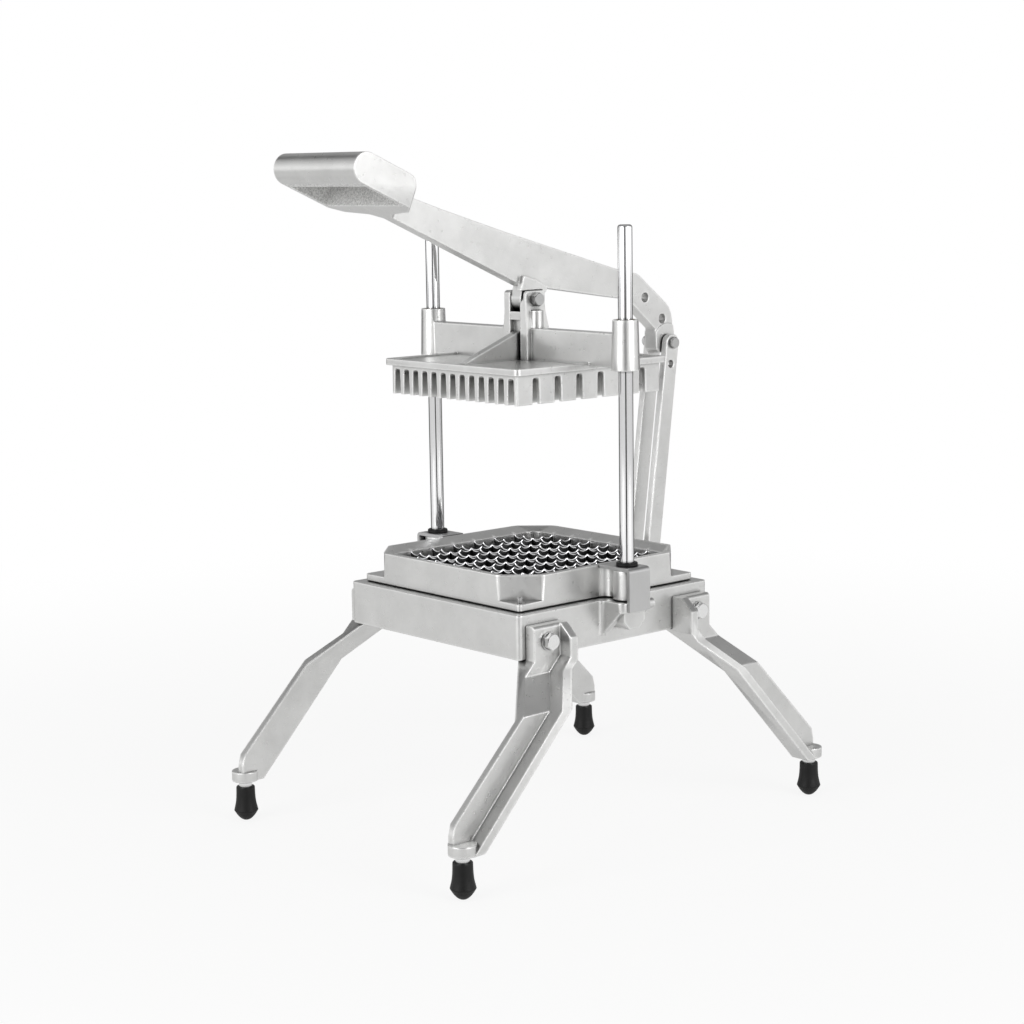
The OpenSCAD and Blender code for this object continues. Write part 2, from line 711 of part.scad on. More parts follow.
// Plain bearing sleeves inside the bushings
module bushing_liners() color("darkgoldenrod") for (side = [-1, 1])
translate([side * post_x, 0, bush_z]) difference() {
    cylinder(h = bush_h, r = liner_r);
    translate([0, 0, -past]) cylinder(h = bush_h + 2 * past, r = bore_r);
}

// Places what is drawn with -Y along the lever and Z across it at the raised lever
module at_lever() {
    translate([0, 0, pivot_z]) rotate([-lever_tilt, 0, 0]) children();
}

// The lever's outline behind the handle, with u forwards and v upwards from the pivot
module arm_outline() {
    // Tongue down into the clevis
    circle(tongue_r);
    polygon([[tongue_r, 0], [tongue_r + 1.2, lever_low + 1], [-tongue_r - 6, lever_low + 12],
             [-tongue_r, 0]]);
    // Slab from the handle to the bend
    polygon([[handle_u + 3, lever_low], [handle_u + 3, handle_top], [handle_u - 10, handle_top - 0.6],
             [156, 31.5], [125, 34.6], [49, 43.9], [-88, 63], [-104, 65.6], [-114, 67], [-121, 67.2],
             [-128, 67], [-99, 38.7], [-19, 17], [13, lever_low]]);
}

// The lever's rear end from the bend to the hub, in the Y-Z plane about the rear pivot
module rear_outline() {
    polygon([[-67.2, 71.8], [-56, 69.6], [-45, 67.4], [-39, 66], [-35.6, 64.3], [-1, 37.5], [3.6, 32.9],
             [6.5, 27], [8, 20], [9.1, 9.9], [hub_r, 0], [hub_r * 0.85, -hub_r * 0.53],
             [4.6, -9.2], [-10.4, -8.7], [-14.4, -5.7], [-15.2, 13.6], [-51, 43.1], [-66.9, 45.3]]);
    circle(hub_r * 0.9);
}

// The handle's outline from the side, with its grip at the front
module handle_outline() {
    r = 9;
    translate([handle_u, lever_low]) square([grip_u - handle_u, handle_top - lever_low - r]);
    translate([handle_u + r, lever_low]) square([grip_u - handle_u - r, handle_top - lever_low]);
    translate([handle_u + r, handle_top - r]) circle(r);
    translate([grip_u, grip_v]) circle(grip_r);
}

// Turns a shape with u forwards and v upwards into one along X
module along_lever(x0, x1) {
    translate([x1, 0, 0]) rotate([90, 0, -90]) linear_extrude(x1 - x0) children();
}

// The lever: handle, slab, tongue, rear hub and the raised pads on its right face
module lever() color("lightgray") difference() {
    union() {
        at_lever() {
            along_lever(-lever_half, lever_half) arm_outline();
            difference() {
                along_lever(-handle_half, handle_half) handle_outline();
                // Pocket open underneath
                along_lever(-handle_half + handle_wall, handle_half - handle_wall)
                    translate([handle_u + handle_wall, lever_low - past])
                        square([grip_u - handle_u - handle_wall - grip_r * 0.55,
                                handle_top - lever_low - handle_wall + past]);
            }
            // Flare from the slab to the handle
            translate([0, 0, lever_low]) linear_extrude(handle_top - lever_low - 7) polygon([
                [-handle_half, -handle_u - 2], [-handle_half, -handle_u],
                [-handle_half + 12, -handle_u + 9.5], [-15, -handle_u + 14.5],
                [-lever_half, -handle_u + 23], [lever_half, -handle_u + 23],
                [15, -handle_u + 14.5], [handle_half - 12, -handle_u + 9.5], [handle_half, -handle_u],
                [handle_half, -handle_u - 2]]);
        }
        translate([0, rear_y, rear_z]) along_x(-lever_half, lever_half) rear_outline();
        pivot_pad();
        translate([0, rear_y, rear_z]) intersection() {
            rod_x(-hub_half, hub_half, hub_pad_r);
            along_x(-lever_t, lever_t) rear_outline();
        }
    }
    translate([0, 0, pivot_z]) rod_x(-lever_half - 6, lever_half + 6, clevis_r + run_gap);
    translate([0, rear_y, rear_z]) rod_x(-lever_half - 6, lever_half + 6, pivot_r + run_gap);
    for (p = [[-28, 43.4], [-5.5, 22.5]]) translate([0, rear_y + p[0], rear_z + p[1]])
        rod_x(-lever_half - 6, lever_half + 6, spare_d / 2);
}

// Raised pad over the right ear, with a flat underside that is level when the lever is up
module pivot_pad() {
    at_lever() along_lever(lever_half - 1, pad_out) difference() {
        polygon([[16, 0.6], [17.6, 14.6], [16.4, 15.4], [3, 17.4], [-12.4, 16.9], [-13.2, 16],
                 [-12.2, 10.8]]);
        rotate(-lever_tilt) translate([-ear_w / 2 - pad_gap, -ear_w])
            square([2 * ear_w, ear_w + ear_rise + pad_gap]);
    }
}

// Room for that pad behind the right ear's outer face, as the lever comes down
module pad_room() {
    r = ear_rise - 0.3;
    translate([0, 0, pivot_z]) along_lever(ear_in - past, pad_out + pad_gap) difference() {
        translate([0, -ear_rise - 4]) square([ear_w, 2 * ear_rise + 5]);
        circle(r);
        rotate(-lever_swing) translate([-0.5, -2 * ear_w]) square([2 * ear_w, 2 * ear_w + r]);
    }
}

// Bolt through the clevis, its head on the right
module clevis_bolt() color("darkgray") translate([0, 0, pivot_z])
    pivot_bolt(ear_out, clevis_af, clevis_head, clevis_nut_t, clevis_r);
module clevis_nut() color("darkgray") translate([0, 0, pivot_z])
    pivot_nut(ear_out, clevis_af, clevis_nut_t, clevis_r);

// A pivot bolt whose head seats at x = half
module pivot_bolt(half, af, head, nut, r) {
    rod_x(-half - nut - 1, half + 0.5, r);
    hex_head(half, head, af, 1);
}

module pivot_nut(half, af, nut, r) {
    difference() {
        hex_head(half, nut, af, -1);
        rod_x(-half - nut - past, -half + past, r + fix_gap);
    }
}

// Places what is drawn about a link's upper pivot, with the link hanging along -Z
module at_links() {
    translate([0, rear_y, rear_z]) rotate([-link_lean, 0, 0]) children();
}

// One rear link, a flat bar with round ends and a spare hole
module link(side) color("silver") at_links() scale_x(side) difference() {
    union() {
        along_x(link_in, link_out) {
            translate([-link_w / 2, -link_l]) square([link_w, link_l]);
            circle(link_w / 2);
            translate([0, -link_l]) circle(link_w / 2);
        }
    }
    rod_x(link_in - past, link_out + past, pivot_r + run_gap);
    translate([0, 0, -link_l]) rod_x(link_in - past, link_out + past, pivot_r + run_gap);
    translate([0, 0, -spare_drop]) rod_x(link_in - past, link_out + past, spare_d / 2 - 1);
}

module left_link() link(-1);
module right_link() link(1);

// Bolt that joins the lever to the links
module rear_bolt() color("darkgray") at_links() pivot_bolt(link_out, pivot_af, pivot_head, nut_t, pivot_r);
module rear_nut() color("darkgray") at_links() pivot_nut(link_out, pivot_af, nut_t, pivot_r);

// Washers between the lever's hub and the links
module rear_washers() color("darkgray") at_links() for (side = [-1, 1])
    scale_x(side) washer_x(thin_washer_in, link_in, pivot_af / 2, pivot_r + run_gap);

// Bolt that joins the links to the base
module low_bolt() color("darkgray") at_links() translate([0, 0, -link_l])
    pivot_bolt(link_out, pivot_af, pivot_head, nut_t, pivot_r);
module low_nut() color("darkgray") at_links() translate([0, 0, -link_l])
    pivot_nut(link_out, pivot_af, nut_t, pivot_r);

// Washers between the base's rear lug and the links
module low_washers() color("darkgray") at_links() translate([0, 0, -link_l]) for (side = [-1, 1])
    scale_x(side) washer_x(thin_washer_in, link_in, pivot_af / 2, pivot_r + run_gap);

// A leg's outline seen from the side, in the Y-Z plane
module leg_side() {
    polygon([[leg_y, leg_top], [leg_far, leg_top], [leg_far, base_z], [foot_y + 5.5, 62],
             [foot_y + 8, 52], [foot_y + 8, leg_foot_z], [foot_y - 14.2, leg_foot_z],
             [leg_y, base_z - 1.7]]);
}

// The flange's strip of that outline
module flange_side() {
    lean = leg_flange * 1.38;
    polygon([[leg_y, leg_top], [leg_y + leg_flange, leg_top], [leg_y + leg_flange, base_z + 1.6],
             [foot_y - 14.2 + lean, leg_foot_z], [foot_y - 14.2, leg_foot_z], [leg_y, base_z - 1.7]]);
}

// A leg's web seen from the front, in the X-Z plane
module web_front() {
    polygon([[base_half, leg_top], [web_x - 2, leg_top], [web_x, leg_top - 2], [web_x, leg_step_top - 1.5],
             [web_x + leg_step, leg_step_top - 1.5 - leg_step * 0.97], [web_x + leg_step, leg_foot_z],
             [leg_inner_x, leg_foot_z], [leg_inner_x, base_z - 40.5], [leg_under_x, base_z - 2],
             [leg_under_x, base_z], [base_half, base_z]]);
}

// The flange seen from the front
module flange_front() {
    polygon([[base_half, leg_top], [web_x + 1, leg_top], [flange_x, leg_top - 11],
             [flange_x, leg_step_top + 1], [flange_x + leg_step, leg_step_top + 1 - leg_step],
             [flange_x + leg_step, leg_foot_z],
             [leg_inner_x, leg_foot_z], [leg_inner_x, base_z - 40.5], [leg_under_x, base_z - 2],
             [leg_under_x, base_z], [base_half, base_z]]);
}

// The rear right leg; the others are its mirror images
module leg() {
    wide = flange_x + leg_step + past;
    difference() {
        union() {
            intersection() {
                along_x(leg_under_x - past, wide) leg_side();
                along_y(leg_y - past, foot_y + 20) web_front();
            }
            intersection() {
                along_x(leg_under_x - past, wide) flange_side();
                along_y(leg_y - past, foot_y + 20) flange_front();
            }
            translate([foot_x, foot_y, leg_foot_z]) cylinder(h = pad_h, r = pad_d / 2);
        }
        translate([0, bolt_y, bolt_z]) rod_x(base_half - past, web_x + past, leg_bolt_r + bolt_gap);
        translate([foot_x, foot_y, leg_foot_z - past])
            cylinder(h = stem_top - leg_foot_z + past + fix_gap, r = stem_r + fix_gap);
    }
}

module at_corner(x, y) {
    mirror([x > 0 ? 0 : 1, 0, 0]) mirror([0, y > 0 ? 0 : 1, 0]) children();
}

module front_left_leg() color("silver") at_corner(-1, -1) leg();
module front_right_leg() color("silver") at_corner(1, -1) leg();
module rear_left_leg() color("silver") at_corner(-1, 1) leg();
module rear_right_leg() color("silver") at_corner(1, 1) leg();

// Bolts that hold the legs to the base, with their washers and nuts
module leg_bolts() color("gray") for (x = [-1, 1], y = [-1, 1])
at_corner(x, y) translate([0, bolt_y, bolt_z]) {
    rod_x(base_half - base_wall - washer_t - nut_t - 2, web_x + washer_t + 0.5, leg_bolt_r);
    hex_head(web_x + washer_t, leg_bolt_head, leg_bolt_af, 1);
}

module leg_washers() color("darkgray") for (x = [-1, 1], y = [-1, 1]) at_corner(x, y)
    translate([0, bolt_y, bolt_z]) washer_x(web_x, web_x + washer_t, washer_d / 2, leg_bolt_r + bolt_gap);

module leg_nuts() color("gray") for (x = [-1, 1], y = [-1, 1]) at_corner(x, y)
    translate([0, bolt_y, bolt_z]) difference() {
        hex_x(base_half - base_wall - nut_t, base_half - base_wall, leg_bolt_af);
        rod_x(base_half - base_wall - nut_t - past, base_half - base_wall + past, leg_bolt_r + fix_gap);
    }

// Steel stems that carry the rubber feet
module foot_stems() color("lightgray") for (x = [-1, 1], y = [-1, 1]) at_corner(x, y)
    translate([foot_x, foot_y, stem_z]) cylinder(h = stem_top - stem_z, r = stem_r);

// One rubber foot: a ball below a tapered neck
module foot() {
    difference() {
        union() {
            intersection() {
                translate([0, 0, foot_centre_z]) sphere(foot_r);
                cylinder(h = foot_centre_z, r = foot_d);
            }
            rotate_extrude() polygon([
                [0, foot_centre_z], [foot_r, foot_centre_z], [foot_r - 0.3, foot_centre_z + 3],
                [foot_waist_r + 0.7, foot_waist_z - 5], [foot_waist_r, foot_waist_z],
                [foot_top_d / 2, foot_h - 1], [foot_top_d / 2 - 1, foot_h], [0, foot_h]]);
        }
        translate([0, 0, stem_z - fix_gap]) cylinder(h = foot_h, r = stem_r + fix_gap);
    }
}

module front_left_foot() color("dimgray") at_corner(-1, -1) translate([foot_x, foot_y, 0]) foot();
module front_right_foot() color("dimgray") at_corner(1, -1) translate([foot_x, foot_y, 0]) foot();
module rear_left_foot() color("dimgray") at_corner(-1, 1) translate([foot_x, foot_y, 0]) foot();
module rear_right_foot() color("dimgray") at_corner(1, 1) translate([foot_x, foot_y, 0]) foot();

base_casting();
blade_frame();
locating_stud();
lengthwise_blades();
crosswise_blades();
left_guide_post();
right_guide_post();
left_strap();
right_strap();
stop_rings();
pusher_head();
bushing_liners();
lever();
clevis_bolt();
clevis_nut();
left_link();
right_link();
rear_bolt();
rear_nut();
rear_washers();
low_bolt();
low_nut();
low_washers();
front_left_leg();
front_right_leg();
rear_left_leg();
rear_right_leg();
leg_bolts();
leg_washers();
leg_nuts();
foot_stems();
front_left_foot();
front_right_foot();
rear_left_foot();
rear_right_foot();
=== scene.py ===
"""Dresses a push cutter for vegetables: its finishes, rounded edges, honed blades, feet and stage."""

from math import cos, radians, sin

import bmesh
import bpy
from mathutils import Matrix, Vector
from mathutils.kdtree import KDTree


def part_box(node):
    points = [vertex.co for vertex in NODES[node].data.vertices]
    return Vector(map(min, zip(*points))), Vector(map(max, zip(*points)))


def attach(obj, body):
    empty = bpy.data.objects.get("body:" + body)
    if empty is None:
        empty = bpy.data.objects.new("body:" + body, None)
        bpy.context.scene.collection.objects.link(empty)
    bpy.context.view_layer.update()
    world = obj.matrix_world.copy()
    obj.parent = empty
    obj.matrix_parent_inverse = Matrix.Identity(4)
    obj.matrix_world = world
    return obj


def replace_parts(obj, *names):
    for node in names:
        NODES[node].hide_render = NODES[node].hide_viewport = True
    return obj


bl_info = {
    "name": "Push Cutter Dressing",
    "version": (1, 0, 0),
    "blender": (4, 5, 0),
    "location": "3D View > Sidebar > Push Cutter",
    "description": "Finishes the castings, blades, posts and fittings of a push cutter",
    "category": "Object",
}

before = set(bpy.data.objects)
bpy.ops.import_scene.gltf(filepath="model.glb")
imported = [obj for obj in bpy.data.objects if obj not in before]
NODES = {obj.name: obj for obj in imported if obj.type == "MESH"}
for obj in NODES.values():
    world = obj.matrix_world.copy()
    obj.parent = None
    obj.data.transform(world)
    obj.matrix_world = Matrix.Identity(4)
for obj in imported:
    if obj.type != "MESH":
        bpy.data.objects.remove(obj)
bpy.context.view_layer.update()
MM = 0.001


def linear(code):
    """An sRGB hex code as linear red, green and blue."""
    parts = [int(code[i:i + 2], 16) / 255 for i in (1, 3, 5)]
    return tuple(c / 12.92 if c <= 0.04045 else ((c + 0.055) / 1.055) ** 2.4 for c in parts)


def rgba(colour, level=1.0):
    """A colour at a level, with full opacity."""
    return (colour[0] * level, colour[1] * level, colour[2] * level, 1.0)


# ---------------------------------------------------------------- settings

class CUTTER_PG_castings(bpy.types.PropertyGroup):
    """Sizes and colours of the aluminium castings"""
    colour: bpy.props.FloatVectorProperty(
        name="Metal", description="Colour of the blasted aluminium", subtype="COLOR", size=3,
        min=0, max=1, default=linear("#DFDFDE"))
    shade: bpy.props.FloatVectorProperty(
        name="Hollows", description="Colour of the slightly duller patches", subtype="COLOR", size=3,
        min=0, max=1, default=linear("#D2D2D1"))
    # The worn-edge colour stands for tumbling wear and a painted highlight both
    edge: bpy.props.FloatVectorProperty(
        name="Worn edges", description="Colour where tumbling has brightened the edges",
        subtype="COLOR", size=3, min=0, max=1, default=linear("#F6F6F5"))
    rounding: bpy.props.FloatProperty(
        name="Edge rounding", description="Rounding of the casting's edges", subtype="DISTANCE",
        unit="LENGTH", min=0.0002, max=0.001, default=0.0008)
    grit: bpy.props.FloatProperty(
        name="Grit", description="Spacing of the blasted texture", subtype="DISTANCE", unit="LENGTH",
        min=0.0003, max=0.003, default=0.0010)


class CUTTER_PG_steel(bpy.types.PropertyGroup):
    """Sizes and colours of the steel parts"""
    post: bpy.props.FloatVectorProperty(
        name="Posts", description="Colour of the polished posts", subtype="COLOR", size=3,
        min=0, max=1, default=linear("#FAFAFB"))
    blade: bpy.props.FloatVectorProperty(
        name="Blades", description="Colour of the ground blades", subtype="COLOR", size=3,
        min=0, max=1, default=linear("#C9CACC"))
    honed: bpy.props.FloatVectorProperty(
        name="Cutting edges", description="Colour of the honed cutting edges", subtype="COLOR", size=3,
        min=0, max=1, default=linear("#E9E9EB"))
    hone: bpy.props.FloatProperty(
        name="Hone", description="Height of the honed band along the cutting edges", subtype="DISTANCE",
        unit="LENGTH", min=0.0002, max=0.002, default=0.00035)
    sheet: bpy.props.FloatVectorProperty(
        name="Straps", description="Colour of the rolled sheet", subtype="COLOR", size=3,
        min=0, max=1, default=linear("#C4C4C4"))
    bolt: bpy.props.FloatVectorProperty(
        name="Bolts", description="Colour of the plated bolts", subtype="COLOR", size=3,
        min=0, max=1, default=linear("#C2C2C2"))
    leg_bolt: bpy.props.FloatVectorProperty(
        name="Leg bolts", description="Colour of the stainless leg bolts", subtype="COLOR", size=3,
        min=0, max=1, default=linear("#F2F2F2"))
    bronze: bpy.props.FloatVectorProperty(
        name="Liners", description="Colour of the bearing liners", subtype="COLOR", size=3,
        min=0, max=1, default=linear("#A98B5B"))


class CUTTER_PG_rubber(bpy.types.PropertyGroup):
    """Colour of the rubber parts"""
    colour: bpy.props.FloatVectorProperty(
        name="Rubber", description="Colour of the moulded rubber", subtype="COLOR", size=3,
        min=0, max=1, default=linear("#0B0B0B"))


class CUTTER_PG_stage(bpy.types.PropertyGroup):
    """Light, floor and camera"""
    floor: bpy.props.FloatVectorProperty(
        name="Floor", description="Colour of the floor", subtype="COLOR", size=3,
        min=0, max=1, default=linear("#F4F4F3"))
    key: bpy.props.FloatProperty(
        name="Key light", description="Power of the light at the front left", subtype="POWER",
        unit="POWER", min=0, max=200, default=18)
    side: bpy.props.FloatProperty(
        name="Side light", description="Power of the light at the right", subtype="POWER", unit="POWER",
        min=0, max=200, default=18)
    walls: bpy.props.FloatProperty(
        name="Walls", description="Level of the light from the walls", min=0, max=2, default=1.16)
    ceiling: bpy.props.FloatProperty(
        name="Ceiling", description="Level of the light from the ceiling", min=0, max=2, default=0.32)
    lens: bpy.props.FloatProperty(
        name="Lens", description="Focal length of the camera", subtype="DISTANCE_CAMERA", unit="CAMERA",
        min=20, max=200, default=76.149)


# ---------------------------------------------------------------- materials

def add(tree, kind, inputs=None, out=None, **options):
    """Adds a node with its options and its inputs, which are values or other nodes' outputs.

    It gives the node's output of the name out, or else its first one.
    """
    node = tree.nodes.new(kind)
    for name, value in options.items():
        setattr(node, name, value)
    for name, value in (inputs or {}).items():
        slot = node.inputs[name] if isinstance(name, int) else next(
            s for s in node.inputs if s.name == name and s.enabled)
        if isinstance(value, bpy.types.NodeSocket):
            tree.links.new(value, slot)
        else:
            slot.default_value = value
    usable = [s for s in node.outputs if s.enabled]
    return next((s for s in usable if s.name == out), usable[0] if usable else None)


def empty_tree(owner):
    """The emptied node tree of a material or a world."""
    owner.use_nodes = True
    owner.node_tree.nodes.clear()
    return owner.node_tree


def new_material(name):
    """An empty node material, with its tree and its object coordinates."""
    mat = bpy.data.materials.new(name)
    tree = empty_tree(mat)
    return mat, tree, add(tree, "ShaderNodeTexCoord", out="Object")


def finish_tree(tree, inputs):
    """Ends a material in the shader with these inputs."""
    surface = add(tree, "ShaderNodeBsdfPrincipled", inputs)
    add(tree, "ShaderNodeOutputMaterial", {"Surface": surface})


def painted_gap_shade(tree, colour, depth, low, start, end):
    """A colour darkened to a low level in gaps narrower than a depth: painted shade, where little light
    gets in.

    The fall runs from end to start, as shares of the open sky that a point sees.
    """
    reach = add(tree, "ShaderNodeAmbientOcclusion", {"Distance": depth}, out="AO", samples=8)
    level = add(tree, "ShaderNodeMapRange",
                {"Value": reach, "From Min": start, "From Max": end, "To Min": low})
    return add(tree, "ShaderNodeMix", {"Factor": 1.0, "A": colour, "B": level}, data_type="RGBA",
               blend_type="MULTIPLY")


def cast_aluminium():
    """Cast aluminium, tumbled and bead blasted: an even satin, duller in patches, with edges pale from
    wear and a painted highlight, and painted shade in its gaps and corners.
    """
    look = bpy.context.scene.cutter_castings
    mat, tree, place = new_material("blasted_cast_aluminium")
    # Patches 35 mm across, where the blast was longer or shorter
    patch = add(tree, "ShaderNodeTexNoise",
                {"Vector": place, "Scale": 1 / 0.035, "Detail": 3.0, "Roughness": 0.6})
    patch = add(tree, "ShaderNodeMapRange", {"Value": patch, "From Min": 0.3, "From Max": 0.7})
    # Pits 4 mm across, the skin that the sand leaves
    skin = add(tree, "ShaderNodeTexNoise",
               {"Vector": place, "Scale": 1 / 0.004, "Detail": 4.0, "Roughness": 0.65})
    # Grit of 0.2 mm in the real finish, drawn at 1 mm so that it shows
    grit = add(tree, "ShaderNodeTexNoise", {"Vector": place, "Scale": 1 / look.grit, "Detail": 2.0})
    # Outer edges, where little metal lies behind the surface: paler and a little uneven, partly tumbling
    # wear and partly a painted highlight
    soft = add(tree, "ShaderNodeBevel", {"Radius": 0.0013}, samples=4)
    thin = add(tree, "ShaderNodeAmbientOcclusion", {"Distance": 0.0022}, out="AO", samples=6, inside=True)
    edge_wear_and_highlight = add(tree, "ShaderNodeMapRange", {"Value": thin, "From Min": 0.90, "From Max": 0.55})
    chips = add(tree, "ShaderNodeMapRange",
                {"Value": skin, "From Min": 0.38, "From Max": 0.56, "To Min": 0.80})
    edge_wear_and_highlight = add(tree, "ShaderNodeMath", {0: edge_wear_and_highlight, 1: chips}, operation="MULTIPLY")
    body = add(tree, "ShaderNodeMix", {"Factor": patch, "A": rgba(look.shade), "B": rgba(look.colour)},
               data_type="RGBA")
    colour = add(tree, "ShaderNodeMix", {"Factor": edge_wear_and_highlight, "A": body, "B": rgba(look.edge)},
                 data_type="RGBA")
    # Joints, gaps and inner corners turn dark: painted shade, where little light gets in
    colour = painted_gap_shade(tree, colour, depth=0.008, low=0.04, start=0.12, end=0.74)
    # The edges turn partly diffuse, so that their pale colour shows bright under any light: scratched
    # wear and a painted highlight
    metal = add(tree, "ShaderNodeMapRange", {"Value": edge_wear_and_highlight, "To Min": 1.0, "To Max": 0.5})
    rough = add(tree, "ShaderNodeMapRange",
                {"Value": skin, "From Min": 0.3, "From Max": 0.7, "To Min": 0.26, "To Max": 0.38})
    coarse = add(tree, "ShaderNodeBump",
                 {"Height": skin, "Strength": 0.35, "Distance": 0.00018, "Normal": soft})
    fine = add(tree, "ShaderNodeBump",
               {"Height": grit, "Strength": 0.45, "Distance": 0.00008, "Normal": coarse})
    finish_tree(tree, {"Base Color": colour, "Metallic": metal, "Roughness": rough, "Normal": fine})
    return mat


def sand_skin():
    """The skin that the sand mould leaves where no finishing reaches: pale, rough, coarsely sparkling."""
    look = bpy.context.scene.cutter_castings
    mat, tree, place = new_material("sand_cast_skin")
    # Grains of 0.4 mm in the real skin, drawn at 1.6 mm so that they show
    grain = add(tree, "ShaderNodeTexNoise",
                {"Vector": place, "Scale": 1 / 0.0016, "Detail": 3.0, "Roughness": 0.7})
    fleck = add(tree, "ShaderNodeMapRange", {"Value": grain, "From Min": 0.35, "From Max": 0.65})
    colour = add(tree, "ShaderNodeMix",
                 {"Factor": fleck, "A": rgba(look.shade, 0.72), "B": rgba(look.edge)}, data_type="RGBA")
    bump = add(tree, "ShaderNodeBump", {"Height": grain, "Strength": 0.9, "Distance": 0.0004})
    finish_tree(tree, {"Base Color": colour, "Metallic": 0.45, "Roughness": 0.45, "Normal": bump})
    return mat


def drawn_steel(name, colour, rough, spacing, depth, stretch=(1, 1, 1), shaded_gap=0.003, glance=1.0):
    """Metal with fine lines or a fine grain: polished bar, rolled sheet, a ground blade or a bolt.

    Spacing and depth are the lines' in metres, and stretch scales them along x, y and z. Gaps narrower
    than the shaded gap width are darkened with painted shade, and glance is how much the metal mirrors
    where it is seen at a flat angle.
    """
    mat, tree, place = new_material(name)
    lines = add(tree, "ShaderNodeMapping", {"Vector": place, "Scale": stretch})
    noise = add(tree, "ShaderNodeTexNoise", {"Vector": lines, "Scale": 1 / spacing, "Detail": 3.0})
    # Patches 20 mm across, from handling
    cloud = add(tree, "ShaderNodeTexNoise", {"Vector": place, "Scale": 1 / 0.02, "Detail": 2.0})
    cloud = add(tree, "ShaderNodeMapRange", {"Value": cloud, "From Min": 0.3, "From Max": 0.7,
                                             "To Min": rough * 0.85, "To Max": rough * 1.2})
    tint = add(tree, "ShaderNodeMix", {"Factor": noise, "A": rgba(colour, 0.93), "B": rgba(colour)},
               data_type="RGBA")
    bump = add(tree, "ShaderNodeBump", {"Height": noise, "Strength": 0.25, "Distance": depth})
    # Painted shade: the colour darkens in gaps narrower than the shaded gap width
    tint = painted_gap_shade(tree, tint, shaded_gap, low=0.03, start=0.35, end=0.95)
    finish_tree(tree, {"Base Color": tint, "Metallic": 1.0, "Roughness": cloud, "Normal": bump,
                       "Specular Tint": (glance, glance, glance, 1.0)})
    return mat


def moulded_rubber():
    """Moulded black rubber: a dull satin with a trace of dust, matt where the mould was blasted."""
    look = bpy.context.scene.cutter_rubber
    mat, tree, place = new_material("moulded_black_rubber")
    # Dust in patches 6 mm across
    dust = add(tree, "ShaderNodeTexNoise",
               {"Vector": place, "Scale": 1 / 0.006, "Detail": 4.0, "Roughness": 0.7})
    dust = add(tree, "ShaderNodeMapRange", {"Value": dust, "From Min": 0.3, "From Max": 0.7})
    colour = add(tree, "ShaderNodeMix",
                 {"Factor": dust, "A": rgba(look.colour, 0.7), "B": rgba(look.colour, 1.5)},
                 data_type="RGBA")
    rough = add(tree, "ShaderNodeMapRange", {"Value": dust, "To Min": 0.42, "To Max": 0.58})
    # The mould's grain of 0.3 mm, drawn at 1.2 mm so that it shows
    fine = add(tree, "ShaderNodeTexNoise", {"Vector": place, "Scale": 1 / 0.0012, "Detail": 2.0})
    bump = add(tree, "ShaderNodeBump", {"Height": fine, "Strength": 0.3, "Distance": 0.00006})
    finish_tree(tree, {"Base Color": colour, "Roughness": rough, "Specular IOR Level": 0.3,
                       "Normal": bump})
    return mat


MADE = {}


def material(name):
    """One of the object's finishes, made the first time it is asked for."""
    if name in MADE:
        return MADE[name]
    look = bpy.context.scene.cutter_steel
    if name == "casting":
        mat = cast_aluminium()
    elif name == "skin":
        mat = sand_skin()
    elif name == "post":
        # Centreless-ground and polished bar: near mirror, faint lines round it, darker where seen flat
        mat = drawn_steel("polished_ground_bar", look.post, rough=0.07, spacing=0.0012, depth=0.00001,
                          stretch=(1, 1, 3), glance=0.15)
    elif name == "blade":
        # Ground stainless strip: fine lines along the blade's height, and painted shade 30 mm deep that
        # darkens its faces between the blades
        mat = drawn_steel("ground_stainless_strip", look.blade, rough=0.30, spacing=0.0014,
                          depth=0.00004, stretch=(1, 1, 0.2), shaded_gap=0.03)
    elif name == "blade_edge":
        # The honed cutting edge: brighter than the strip, the one clean line on it
        mat = drawn_steel("honed_cutting_edge", look.honed, rough=0.24, spacing=0.0012, depth=0.00002,
                          shaded_gap=0.001)
    elif name == "sheet":
        # Cold-rolled sheet with a satin finish
        mat = drawn_steel("satin_rolled_sheet", look.sheet, rough=0.36, spacing=0.0016, depth=0.00005,
                          stretch=(1, 1, 0.15))
    elif name == "bolt":
        # Zinc plate over turned and cold-formed steel
        mat = drawn_steel("zinc_plated_steel", look.bolt, rough=0.22, spacing=0.0016, depth=0.00006,
                          shaded_gap=0.005)
    elif name == "leg_bolt":
        # Passivated stainless screws: bright and clean beside the castings
        mat = drawn_steel("passivated_stainless", look.leg_bolt, rough=0.2, spacing=0.0016,
                          depth=0.00008)
    elif name == "bronze":
        # Sintered bearing bronze: matt and a little oily
        mat = drawn_steel("sintered_bearing_bronze", look.bronze, rough=0.42, spacing=0.0009,
                          depth=0.00006)
    elif name == "rubber":
        mat = moulded_rubber()
    else:
        raise ValueError("no finish is called " + name)
    MADE[name] = mat
    return mat


# ---------------------------------------------------------------- pieces

# Corners nearer than MERGED are one. Faces whose normals' cosine is FLAT or more are one flat face. An
# edge that turns by less than STRAIGHT radians at a corner runs straight through it
MERGED, FLAT, STRAIGHT = 0.004 * MM, 0.999999, 0.001
# Edges that turn by more than the first angle are rounded, and shading breaks at the second
ROUNDED_FROM, SHADED_TO = radians(30), radians(50)
# Where two roundings overlap, triangles lie upside down: their normals' cosine to their face's is under
# FOLD_COSINE. Those with a doubled area under FOLD_AREA, in square metres, are too small to count
FOLD_COSINE, FOLD_AREA, LARGE_FOLD_AREA = 0.5, 2e-8, 3e-5
# A rounded corner that lies more than this many widths from where it began has run away
RUN_AWAY = 3
# How often the rounding is tried, each time with more corners left sharp
TRIES = 12


def finish_node(node, finish):
    """Gives a CAD node one finish on all its slots."""
    mesh = NODES[node].data
    mesh.materials.clear()
    mesh.materials.append(material(finish))


